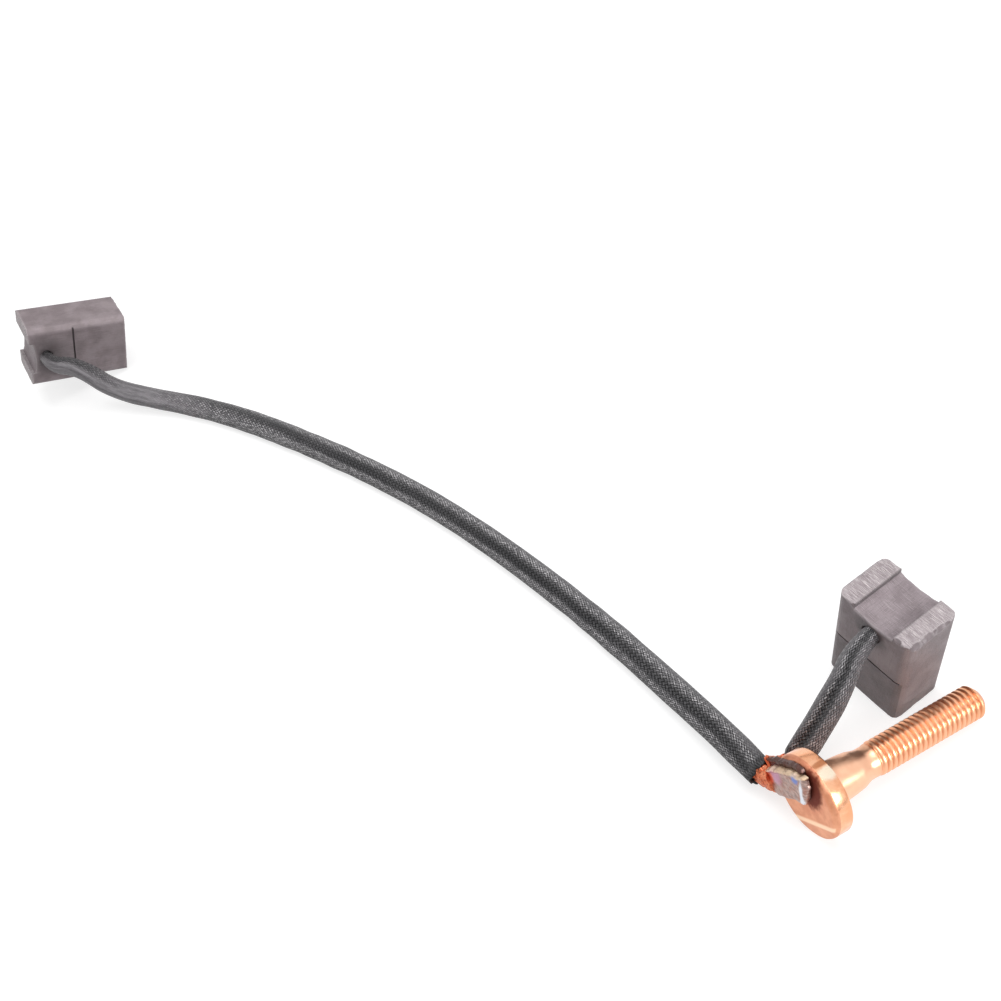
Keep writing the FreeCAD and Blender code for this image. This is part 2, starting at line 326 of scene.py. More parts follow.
def carbon_material():
    """Pressed carbon and copper powder: matt purplish grey, ground and scratched on top."""
    s = Shader("carbon")
    where = s.own()
    across = s.noise(s.local((0.30, 4.0, 1.0)), 2.4, 4.0, 0.7)
    hairs = s.noise(s.local((0.22, 7.0, 1.0)), 1.5, 2.0, 0.6)
    slant = s.noise(s.local((3.6, 0.9, 0.5)), 1.4, 3.0, 0.65)
    cross = s.noise(s.local((7.0, 0.25, 1.0)), 1.2, 3.0, 0.65)
    drawn = s.noise(s.local((4.0, 4.0, 0.22)), 1.3, 4.0, 0.7)
    grain = s.noise(where, 5.0, 3.0, 0.75)
    blotch = s.noise(where, 0.17, 3.0, 0.55)
    ground = s.mark("ground")
    side = s.coats(
        colour(128, 116, 119),
        (blotch, 0.35, 0.68, 0.0, 1.0, (150, 138, 141)),
        (drawn, 0.52, 0.74, 0.0, 0.55, (100, 89, 91)),
        (drawn, 0.26, 0.46, 0.5, 0.0, (160, 150, 152)),
    )
    top = s.coats(
        colour(152, 141, 144),
        (blotch, 0.35, 0.68, 0.0, 1.0, (174, 163, 166)),
        (across, 0.50, 0.66, 0.0, 0.75, (118, 108, 111)),
        (slant, 0.54, 0.68, 0.0, 0.6, (124, 114, 117)),
        (hairs, 0.54, 0.62, 0.0, 0.9, (222, 214, 215)),
    )
    in_groove = s.coats(
        colour(132, 120, 124),
        (blotch, 0.35, 0.68, 0.0, 1.0, (152, 140, 144)),
        (cross, 0.52, 0.66, 0.0, 0.55, (104, 94, 97)),
        (across, 0.52, 0.68, 0.0, 0.6, (108, 98, 101)),
        (hairs, 0.58, 0.66, 0.0, 0.5, (190, 181, 183)),
    )
    up = s.add("SeparateXYZ", Vector=where).outputs[2]
    sunk = s.ramp(up, LENGTH - 1.05, LENGTH - 0.75, 1.0, 0.0)
    base = s.mix(ground, side, s.mix(sunk, top, in_groove))
    base = s.coats(base, (grain, 0.55, 0.78, 0.0, 0.5, (92, 83, 86)))
    # paler edges from the mesh: partly wear, partly painted highlight where edges catch the light
    worn = s.times(s.mark("wear_and_highlight"), s.ramp(grain, 0.30, 0.62, 1.0, 0.35))
    base = s.mix(worn, base, colour(178, 169, 171))
    # painted shade from the mesh's dark mark: round the hole, under the split, on the +X side, in
    # the split, at the groove's walls and on broken faces
    base = s.mix(s.times(s.mark("soot"), 0.72), base, colour(58, 54, 55))
    scratches = s.times(ground, s.plus(s.times(across, 0.5), s.times(hairs, 0.5)))
    height = s.plus(s.plus(scratches, s.times(grain, 0.35)), s.times(drawn, 0.35))
    rough = s.ramp(across, 0.3, 0.7, 0.60, 0.42)
    return s.principled(base, rough, s.bump(height, 0.14, 0.8), metal=0.2)


def copper_material():
    """Copper: matt on the front of the head, polished on the rim, burnt beside the weld."""
    s = Shader("copper")
    where = s.own()
    along = s.add("SeparateXYZ", Vector=where).outputs[0]
    turned = s.noise(s.local((6.0, 0.5, 0.5)), 1.2, 3.0, 0.6)
    cloud = s.noise(where, 0.35, 3.0, 0.6)
    grain = s.noise(where, 6.0, 2.0, 0.6)
    front = s.ramp(along, 1.15, 1.45, 1.0, 0.0)
    shank = s.ramp(along, 5.4, 7.0, 0.0, 0.6)
    base = s.coats(
        colour(243, 172, 130),
        (cloud, 0.35, 0.7, 0.0, 1.0, (250, 192, 154)),
        (turned, 0.6, 0.85, 0.0, 0.5, (232, 150, 108)),
    )
    # painted highlight: the shank is painted paler than the head for its bright reflections; the
    # thread from its start, and the tip, are a little darker again
    base = s.coats(
        s.mix(shank, base, colour(252, 204, 174)),
        (along, 16.0, 19.0, 0.0, 0.6, (244, 180, 138)),
        (along, 43.0, 47.0, 0.0, 0.6, (232, 166, 122)),
    )
    # painted shade: the thread's roots are painted darker
    base = s.mix(s.times(s.mark("root"), 0.65), base, colour(212, 124, 80))
    # painted reflections on the polished rim: a bright highlight patch, and a dark brown reflection
    # streak beside it
    bright = s.spot((3.3, -1.0, 9.8), (2.1, 1.6, 3.0))
    base = s.mix(bright, base, colour(255, 238, 214))
    streak = s.spot((3.3, 1.4, 9.8), (2.1, 0.7, 3.0))
    base = s.mix(s.times(streak, 0.7), base, colour(176, 104, 62))
    matt = s.mix(s.ramp(cloud, 0.35, 0.7), colour(212, 144, 110), colour(230, 168, 134))
    base = s.mix(front, base, matt)
    # painted highlight: the bright line where the slanting flat starts
    chord = s.add("VectorMath", {"operation": "DOT_PRODUCT"}, Vector=where)
    chord.inputs[1].default_value = BEVEL_SIDE
    off = s.math("ABSOLUTE", s.math("SUBTRACT", chord.outputs["Value"], BEVEL_CHORD - 0.15))
    line = s.times(s.ramp(off, 0.25, 0.90, 1.0, 0.0), s.ramp(along, 0.25, 0.5, 1.0, 0.0))
    base = s.mix(s.times(line, 0.8), base, colour(255, 224, 192))
    # the burn, and the tint round it
    burn = s.times(s.spot((0, -0.5, 4.9), (3, 3.6, 5.4), -12, 0.22), front)
    base = s.mix(burn, base, colour(48, 12, 14))
    tint = s.times(s.spot((0, 1.5, 4.0), (3, 6.2, 6.6), 0, 0.3), front)
    base = s.mix(s.times(tint, 0.35), base, colour(190, 100, 78))
    rough = s.ramp(cloud, 0.3, 0.75, 0.16, 0.26)
    for amount, more in ((front, 0.24), (shank, 0.20), (burn, 0.25)):
        rough = s.plus(rough, s.times(amount, more))
    height = s.plus(s.times(turned, 0.7), s.times(grain, 0.3))
    return s.principled(base, rough, s.bump(height, 0.04, 0.2), metal=1.0)


def powder_material():
    """The dark powder that is tamped in round a lead."""
    s = Shader("powder")
    grain = s.noise(s.add("TexCoord").outputs["Object"], 3.5 / MM, 4.0, 0.7)
    base = s.mix(s.ramp(grain, 0.4, 0.65), colour(58, 46, 46), colour(128, 96, 84))
    return s.principled(base, 0.8, s.bump(grain, 0.25), metal=0.2)


def weave_material():
    """Braided sleeve: two families of strands that cross, one over the other in turn.
    The mesh marks the painted shade in the crease, the painted sheen where the weave is plain and
    pale, and where it is tinted warm."""
    s = Shader("weave")
    lay = s.add("UVMap", {"uv_map": "lay"}).outputs[0]
    parts = s.add("SeparateXYZ", Vector=lay)
    turns, steps = s.times(parts.outputs[0], float(WEAVE_ENDS)), s.times(parts.outputs[1], 0.5)
    families = s.plus(turns, steps), s.math("SUBTRACT", turns, steps)
    crown_a, crown_b = (s.math("ABSOLUTE", s.math("SINE", s.times(f, math.pi))) for f in families)
    cell_a, cell_b = (s.math("FLOOR", f) for f in families)
    odd = s.math("MODULO", s.math("ABSOLUTE", s.plus(cell_a, cell_b)), 2.0)
    crown = s.plus(s.times(crown_a, odd), s.times(crown_b, s.math("SUBTRACT", 1.0, odd)))
    corner = s.add("CombineXYZ", X=cell_a, Y=cell_b)
    chance = s.add("TexWhiteNoise", Vector=corner.outputs[0]).outputs["Value"]
    patch = s.noise(s.local(), 0.22, 3.0, 0.6)
    # painted light on the weave: strands are painted lighter at their crowns as highlight and dark
    # in the gaps between them as shade; how light a crown is varies at random
    dark = s.mix(s.ramp(patch, 0.35, 0.65), colour(16, 16, 18), colour(32, 31, 34))
    thread = s.mix(chance, colour(104, 102, 105), colour(190, 187, 190))
    base = s.mix(s.ramp(crown, 0.50, 0.98), dark, thread)
    peak = s.times(crown_a, crown_b)
    glint = s.times(s.ramp(chance, 0.55, 0.95), s.ramp(peak, 0.55, 0.95))
    base = s.mix(glint, base, colour(206, 203, 205))
    stretched = s.add("Mapping", Vector=lay, Scale=(9, 0.035, 1)).outputs[0]
    streak = s.noise(stretched, 2.0, 3.0, 0.6)
    cool = s.mix(s.ramp(patch, 0.35, 0.65), colour(74, 73, 76), colour(98, 96, 99))
    streaky = s.mix(s.ramp(streak, 0.36, 0.64), colour(92, 91, 94), colour(132, 131, 134))
    # painted sheen: where the mesh marks it plain, the weave gives way to a smooth pale grey
    warm, plain = s.mark("warm"), s.mark("plain")
    base = s.mix(plain, base, s.mix(warm, cool, streaky))
    shadow = s.mix(s.ramp(crown, 0.6, 1.0), colour(8, 8, 10), colour(46, 45, 49))
    base = s.mix(s.mark("crease"), base, shadow)
    base = s.mix(warm, base, (1.05, 1.0, 1.01, 1), "MULTIPLY")
    flat = s.math("SUBTRACT", 1.0, s.times(plain, 0.8))
    shape = s.bump(s.times(crown, flat), 0.20, 0.9)
    return s.principled(base, 0.48, shape, sheen=0.14)


def braid_material():
    """Bare copper strands, red and burnt near the sleeve, pressed to a grey skin on the pad."""
    s = Shader("braid")
    where = s.own()
    cloud = s.noise(where, 0.5, 3.0, 0.6)
    grain = s.noise(where, 2.6, 3.0, 0.7)
    drawn = s.noise(s.local((1.0, 0.8, 2.6)), 0.9, 4.0, 0.65)
    pad = s.mark("pad")
    strands = s.coats(
        colour(196, 88, 52),
        (cloud, 0.35, 0.62, 0.0, 1.0, (240, 152, 112)),
        (grain, 0.50, 0.70, 0.0, 0.85, (96, 28, 24)),
    )
    skin = s.coats(
        colour(146, 122, 116),
        (drawn, 0.34, 0.66, 0.0, 1.0, (196, 168, 158)),
        (cloud, 0.46, 0.66, 0.0, 0.7, (168, 118, 104)),
    )
    for centre, radii, soft, tone in (
        ((-2, 7.6, 0.4), (4, 2.2, 2.0), 0.5, (196, 150, 172)),
        ((-2, 8.6, -2.2), (4, 1.3, 1.6), 0.4, (232, 128, 104)),
        ((-2, 2.4, 6.3), (4, 1.0, 1.2), 0.4, (120, 136, 196)),
    ):
        skin = s.mix(s.spot(centre, radii, 0, soft), skin, colour(*tone))
    base = s.mix(pad, strands, skin)
    base = s.mix(s.mark("rim"), base, colour(242, 214, 178))
    silver = s.spot((-2, -0.6, 3.4), (4, 0.5, 4.2), -20, 0.4)
    base = s.mix(s.times(silver, pad), base, colour(226, 230, 238))
    base = s.mix(s.times(s.mark("soot"), 0.85), base, colour(52, 20, 20))
    bare = s.math("SUBTRACT", 1.0, s.times(pad, 0.75))
    shape = s.bump(s.times(s.plus(grain, drawn), bare), 0.16, 0.7)
    rough = s.ramp(cloud, 0.3, 0.7, 0.30, 0.46)
    return s.principled(base, rough, shape, metal=0.8)


CARBON = carbon_material()
COPPER = copper_material()
POWDER = powder_material()
WEAVE = weave_material()
BRAID = braid_material()


# ---- Mesh helpers


def add_piece(name, points, faces, place, material, nodes, sharp, marks):
    """A piece from points in the millimetres of its own place, standing for its nodes.
    The mesh is in the row frame, and keeps those millimetres as "own" for its material."""
    own = np.asarray(points, float)
    turn, at = np.array(place.to_3x3()), np.array(place.translation)
    mesh = bpy.data.meshes.new(name)
    mesh.from_pydata((own * MM @ turn.T + at).tolist(), [], faces)
    mesh.validate()
    mesh.materials.append(material)
    mesh.shade_smooth()
    mesh.set_sharp_from_angle(angle=math.radians(sharp))
    keep = mesh.attributes.new("own", "FLOAT_VECTOR", "POINT")
    keep.data.foreach_set("vector", own.astype(np.float32).ravel())
    for mark, values in marks.items():
        layer = mesh.attributes.new(mark, "FLOAT", "POINT")
        layer.data.foreach_set("value", np.clip(values, 0, 1).astype(np.float32).ravel())
    piece = add_object(name, mesh)
    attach(piece, "root")
    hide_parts(*nodes)
    return piece


def smooth(value, low, high):
    """Rises softly from 0 at low to 1 at high."""
    t = np.clip((np.asarray(value, float) - low) / (high - low), 0, 1)
    return t * t * (3 - 2 * t)


def rough(points, scale, seed=0.0):
    """Smooth noise from -1 to 1 at each point, with features about scale millimetres wide."""
    shift = Vector((seed, seed, seed))
    return np.array([noise.noise(Vector(p) / scale + shift) for p in points])


def cuts(low, high, step, extra=()):
    """Even places about a step apart from low to high, and the extra ones."""
    count = max(1, round((high - low) / step))
    return sorted(set(np.round(np.linspace(low, high, count + 1), 4)) | set(extra))


def box_skin(xs, ys, zs):
    """Points and faces of a box's six sides, cut at those places."""
    number, points, faces = {}, [], []

    def corner(i, j, k):
        if (i, j, k) not in number:
            number[i, j, k] = len(points)
            points.append((xs[i], ys[j], zs[k]))
        return number[i, j, k]

    def side(a, b, fixed, at, flip):
        for p in range(len(a) - 1):
            for q in range(len(b) - 1):
                ring = []
                for u, v in ((p, q), (p + 1, q), (p + 1, q + 1), (p, q + 1)):
                    index = [0, 0, 0]
                    index[fixed] = at
                    index[(fixed + 1) % 3] = u
                    index[(fixed + 2) % 3] = v
                    ring.append(corner(*index))
                faces.append(ring[::-1] if flip else ring)

    spans = (xs, ys, zs)
    for fixed in range(3):
        a, b = spans[(fixed + 1) % 3], spans[(fixed + 2) % 3]
        side(a, b, fixed, 0, True)
        side(a, b, fixed, len(spans[fixed]) - 1, False)
    return np.array(points, float), faces


def ring_faces(rows, around):
    """Quads between rows of points that each close on themselves."""
    made = []
    for i in range(rows - 1):
        a, b = i * around, (i + 1) * around
        for j in range(around):
            k = (j + 1) % around
            made.append((a + j, b + j, b + k, a + k))
    return made


def closed_faces(rows, around):
    """Those quads, and a face over each end."""
    last = (rows - 1) * around
    ends = [list(range(around)), [last + j for j in range(around)][::-1]]
    return ring_faces(rows, around) + ends


# ---- Carbon blocks


def round_long_edges(p):
    """Bends the square plan to one with round corners."""
    over = np.abs(p[:, :2]) - (HALF_PLAN - EDGE_ROUND)
    corner = (over > 0).all(axis=1)
    q = over[corner]
    reach = q.max(axis=1, keepdims=True)
    q = q / np.linalg.norm(q, axis=1, keepdims=True) * reach
    p[corner, :2] = np.sign(p[corner, :2]) * (q + HALF_PLAN - EDGE_ROUND)


def groove(x):
    """How deep the groove across the spring end is at x."""
    inside = np.abs(x) < GROOVE_HALF
    return np.where(inside, GROOVE_STEP + GROOVE_SAG * (1 - (x / GROOVE_HALF) ** 2), 0.0)


def dent(p, centre, radius):
    """Breaks away what a ball would take out of the surface.
    Says where it did, and where the rim of the break is."""
    away = p - np.array(centre)
    far = np.linalg.norm(away, axis=1)
    hit = far < radius
    p[hit] = np.array(centre) + away[hit] / far[hit, None] * radius
    return hit * 1.0, smooth(radius - far, -0.45, -0.05) * (1 - hit)


def carbon_block(name, place, drop, chips, split, split_at, rubbed_and_sheen, hole_shade, shade):
    """A block that stands on its contact end, its lead face towards -Y.

    The lead leaves drop millimetres under the spring end. Each chip is a ball (x, y, z, radius)
    that took a piece off. The split crosses the lead face between the two places in split, at
    the height split_at. The next three arguments paint light and shade: the first brightens the
    long edges, partly as wear and partly as painted highlight; the second spreads painted shade
    over the lead face round the hole; and shade is painted shade on the lead face under the
    split and on the +X side, and a darkening of the whole block."""
    wall = GROOVE_HALF - GROOVE_WALL
    xs = cuts(-HALF_WIDTH, HALF_WIDTH, BLOCK_CUT, (-GROOVE_HALF, -wall, wall, GROOVE_HALF))
    ys = cuts(-HALF_DEPTH, HALF_DEPTH, BLOCK_CUT)
    lip = SLIT_HALF + SLIT_WALL
    zs = cuts(0, LENGTH, BLOCK_CUT_UP, [split_at + d for d in (-lip, -SLIT_HALF, SLIT_HALF, lip)])
    p, faces = box_skin(xs, ys, zs)
    x0, z0 = p[:, 0].copy(), p[:, 2].copy()
    lead_face = p[:, 1] < -HALF_DEPTH + 0.001
    spring_end = z0 > LENGTH - 0.01
    over = np.abs(p[:, :2]) - (HALF_PLAN - EDGE_ROUND)
    corner = smooth(over.min(axis=1), 0.0, 1.3)
    round_long_edges(p)
    # the groove across the spring end pulls the skin's last 7 millimetres down
    p[:, 2] -= groove(x0) * np.clip((z0 - (LENGTH - 7)) / 7, 0, 1)
    # broken end edges, uneven as pressed carbon is
    worn = 0.30 + 0.20 * rough(p, 2.2, 3.0) + 0.10 * rough(p, 0.7, 9.0)
    plan = np.minimum(HALF_WIDTH - np.abs(p[:, 0]), HALF_DEPTH - np.abs(p[:, 1]))
    top = LENGTH - groove(x0) - p[:, 2]
    step_edge = smooth(0.5 - np.abs(np.abs(x0) - GROOVE_HALF - 0.1), 0.0, 0.45) * (top < 0.05)
    end_edge = smooth(0.8 - np.maximum(plan, 0) - np.minimum(top, p[:, 2]), 0.0, 0.7)
    # paler rounded long edges and broken end edges: partly wear, partly painted highlight
    wear_and_highlight = np.maximum(rubbed_and_sheen * corner, 0.8 * end_edge)
    for gap_end, sign in ((top, 1), (p[:, 2].copy(), -1)):
        near = np.clip(worn - np.maximum(plan, 0) - np.maximum(gap_end, 0), 0, None)
        p[:, 2] -= sign * near * 0.6
        at_side = HALF_PLAN - np.abs(p[:, :2]) < 0.6
        p[:, :2] -= (near * 0.6)[:, None] * np.sign(p[:, :2]) * at_side
    # the hole that the lead leaves by, and the painted shade round it
    out = np.hypot(x0, z0 - (LENGTH - drop))
    sink = HOLE_DENT * (1 - smooth(out, HOLE_RADIUS - 0.5, HOLE_RADIUS + 0.15))
    p[:, 1] += np.where(lead_face, sink, 0)
    drift = out + 1.2 * rough(p, 2.0, 21.0)
    soot = np.maximum(1 - smooth(drift, 1.9, 5.6), hole_shade * (1 - smooth(drift, 3.0, 11.0)))
    # painted shade on the lead face under the split and on the +X side; the last value darkens the
    # whole block
    below, beside, over_all = shade
    below = below * lead_face * smooth(split_at - z0, 0.0, 0.4)
    shaded = np.maximum(below, beside * (x0 > HALF_WIDTH - 0.01)) + over_all
    # painted shade along the groove's walls on the spring end
    foot = (np.abs(np.abs(x0) - GROOVE_HALF) < 0.2) & spring_end
    # the split across the lead face
    thin = lead_face & (x0 > split[0]) & (x0 < split[1])
    from_split = np.abs(z0 - split_at)
    p[:, 2] += np.where(thin & (from_split < 0.8), 0.12 * rough(p, 4.0, 5.0), 0)
    inside = thin & (from_split < SLIT_HALF + 0.01)
    p[:, 1] += np.where(inside, SLIT_DEPTH, 0)
    broken = np.zeros(len(p))
    # each chip's broken faces take painted shade, and its rim the paler edge colour, partly painted
    # highlight
    for chip in chips:
        chipped, rim = dent(p, chip[:3], chip[3])
        grains = np.stack([rough(p, 0.9, seed) for seed in (11.0, 12.0, 13.0)], axis=1)
        p += chipped[:, None] * 0.16 * grains
        broken = np.maximum(broken, chipped)
        wear_and_highlight = np.maximum(wear_and_highlight * (1 - chipped), rim)
    p += 0.02 * np.stack([rough(p, 1.3, seed) for seed in (1.0, 2.0, 4.0)], axis=1)
    # the dark mark: painted shade round the hole, under the split and on the +X side, inside the
    # split, at the groove's walls and on broken faces, and a darkening of the whole block
    dark = [soot * lead_face, shaded, inside * 1.0, foot * 0.6, broken * 0.35]
    # the paler edges, with the groove's step edges, are partly wear and partly painted highlight
    marks = {
        "wear_and_highlight": wear_and_highlight + 0.5 * step_edge,
        "soot": np.maximum.reduce(dark),
        "ground": spring_end * (1 - broken),
    }
    nodes = ["block_" + name]
    add_piece("carbon_" + name, p, faces, place, CARBON, nodes, 32, marks)


SHORT_CHIPS = [
    (13.7, -5.4, 33.2, 5.35),
    (13.3, -1.6, 33.6, 5.25),
    (13.9, 1.9, 33.0, 5.15),
    (11.3, -3.4, 30.9, 1.75),
    (11.0, 0.4, 31.0, 1.55),
    (11.4, 3.6, 30.9, 1.75),
    (9.4, -7.9, 30.7, 1.1),
    (6.6, -7.8, 30.9, 1.45),
    (-5.2, -8.3, 30.3, 1.5),
]
LONG_CHIPS = [
    (10.9, 5.6, -1.3, 1.9),
    (11.4, 3.0, -1.2, 1.9),
    (11.5, -0.4, -1.0, 1.6),
]


# ---- Terminal bolt


def bolt_profile():
    """The head, the taper under it and the waist, front to back: how far along, radius."""
    rows = [(0.05, 0.4), (0.03, 3.0), (0.0, 6.0)]
    for a in [math.radians(6 * i) for i in range(16)]:
        rim = HEAD_RADIUS - HEAD_ROUND * (1 - math.sin(a))
        rows.append((HEAD_ROUND * (1 - math.cos(a)), rim))
    rows += [(HEAD_THICK - 0.4, HEAD_RADIUS), (HEAD_THICK - 0.12, HEAD_RADIUS - 0.12)]
    rows += [(HEAD_THICK, HEAD_RADIUS - 0.4), (HEAD_THICK, 6.3), (HEAD_THICK + 0.12, 5.6)]
    rows += [(HEAD_THICK + 0.7, 5.12), (HEAD_THICK + 1.8, 4.95)]
    return rows + BOLT_NECK


def turned(profile):
    """Points of the profile turned about X."""
    angle = np.linspace(0, 2 * math.pi, BOLT_AROUND, endpoint=False)
    return [(s, r * math.cos(a), r * math.sin(a)) for s, r in profile for a in angle]


def thread_points():
    """Points of a right-hand thread with flat crests and round roots, from the neck to the tip."""
    neck, points = BOLT_NECK[-1][0], []
    rows = int((BOLT_LENGTH - neck) / (THREAD_PITCH / THREAD_CUTS))
    for i in range(1, rows + 1):
        s = neck + (BOLT_LENGTH - neck) * i / rows
        chamfer = THREAD_RADIUS - TIP_CHAMFER * (1 - (BOLT_LENGTH - s) / TIP_CHAMFER)
        limit = min(THREAD_RADIUS, chamfer)
        start = 1 - smooth(s, THREAD_START - 0.2, THREAD_START + 1.6)  # lower first crests
        for j in range(BOLT_AROUND):
            turn = j / BOLT_AROUND
            phase = (s / THREAD_PITCH + turn) % 1.0
            rise = smooth(abs(phase - 0.5), 0.05, 0.34)
            radius = THREAD_RADIUS - THREAD_DEPTH * (1 - rise)
            radius = min(radius, limit) - start * 0.28 * rise
            a = 2 * math.pi * turn
            points.append((s, radius * math.cos(a), radius * math.sin(a)))
    return points


def bevelled(points, faces):
    """Takes the slanting flat off the low front side of the head, and names the flat's edges."""
    mesh = bmesh.new()
    corners = [mesh.verts.new(p) for p in points]
    for ring in faces:
        mesh.faces.new([corners[i] for i in ring])
    normal = Vector((-(HEAD_RADIUS - BEVEL_CHORD), 0, 0)) + BEVEL_SIDE * BEVEL_DEPTH
    head = [f for f in mesh.faces if max(v.co.x for v in f.verts) < HEAD_THICK - 0.3]
    parts = head + list({e for f in head for e in f.edges})
    parts += list({v for f in head for v in f.verts})
    cut = bmesh.ops.bisect_plane(
        mesh, geom=parts, plane_co=BEVEL_SIDE * BEVEL_CHORD, plane_no=normal.normalized(),
        clear_outer=True,
    )
    rim = [e for e in cut["geom_cut"] if isinstance(e, bmesh.types.BMEdge)]
    bmesh.ops.contextual_create(mesh, geom=rim)
    bmesh.ops.recalc_face_normals(mesh, faces=mesh.faces)
    mesh.verts.index_update()
    cap = {tuple(sorted(v.index for v in e.verts)) for e in rim if e.is_valid}
    points = [tuple(v.co) for v in mesh.verts]
    faces = [tuple(v.index for v in f.verts) for f in mesh.faces]
    mesh.free()
    return points, faces, cap


def terminal_bolt():
    """The bolt: turned head and shank, thread, and the slanting flat with its sharp edges."""
    points = turned(bolt_profile()) + thread_points()
    faces = closed_faces(len(points) // BOLT_AROUND, BOLT_AROUND)
    points, faces, cap = bevelled(points, faces)
    along, *sides = np.array(points).T
    # marks the thread's roots, where the copper paints shade
    sunk = (THREAD_RADIUS - np.hypot(*sides)) / THREAD_DEPTH
    on_thread = smooth(along, THREAD_START, THREAD_START + 1.5)
    marks = {"root": smooth(sunk, 0.25, 0.9) * on_thread}
    nodes = ["terminal_bolt"]
    piece = add_piece("bolt", points, faces, BOLT_PLACE, COPPER, nodes, 34, marks)
    for edge in piece.data.edges:
        if tuple(sorted(edge.vertices)) in cap:
            edge.use_edge_sharp = True


# ---- Leads


def route_line(points):
    """The smooth line of a route, in millimetres, read from its spline."""
    curve = bpy.data.curves.new("route", "CURVE")
    curve.dimensions = "3D"
    curve.resolution_u = 150
    spline = curve.splines.new("NURBS")
    spline.points.add(len(points) - 1)
    for point, place in zip(spline.points, points):
        point.co = [c * MM for c in place] + [1]
    spline.order_u = 3
    spline.use_endpoint_u = True
    holder = add_object("route", curve)
    bpy.context.view_layer.update()
    mesh = bpy.data.meshes.new_from_object(holder)
    line = np.array([v.co for v in mesh.vertices]) / MM
    bpy.data.objects.remove(holder)
    bpy.data.meshes.remove(mesh)
    return line


def distances(line):
    """How far along the line each of its points is."""
    return np.concatenate([[0], np.cumsum(np.linalg.norm(np.diff(line, axis=0), axis=1))])


def part_of(line, start, end, step):
    """Even steps along the line from start to end, in millimetres."""
    run = distances(line)
    places = np.linspace(start, end, max(2, int((end - start) / step) + 1))
    return np.stack([np.interp(places, run, line[:, i]) for i in range(3)], axis=1), places


def frames(line, up):
    """Across and upward directions for each point of the line."""
    ahead = np.gradient(line, axis=0)
    ahead /= np.linalg.norm(ahead, axis=1, keepdims=True)
    across = np.cross(ahead, up)
    across /= np.linalg.norm(across, axis=1, keepdims=True)
    return across, np.cross(across, ahead)


def swept(centre, across, above, x, y):
    """Rows of points round the line, x across it and y above it."""
    centre, across, above = centre[:, None, :], across[:, None, :], above[:, None, :]
    return centre + across * x[..., None] + above * y[..., None]


def stations(places, table):
    """The table's columns after its first, at those places along."""
    rows = np.array(table, float)
    return [np.interp(places, rows[:, 0], rows[:, i]) for i in range(1, rows.shape[1])]


def weave_height(turn, along, ends, step):
    """How far a weave stands up: strands of two families, over and under in turn."""
    steps = along / step * 0.5
    first, second = turn * ends + steps, turn * ends - steps
    crown_a, crown_b = np.abs(np.sin(math.pi * first)), np.abs(np.sin(math.pi * second))
    odd = np.mod(np.floor(first) + np.floor(second), 2)
    return crown_a * odd + crown_b * (1 - odd)


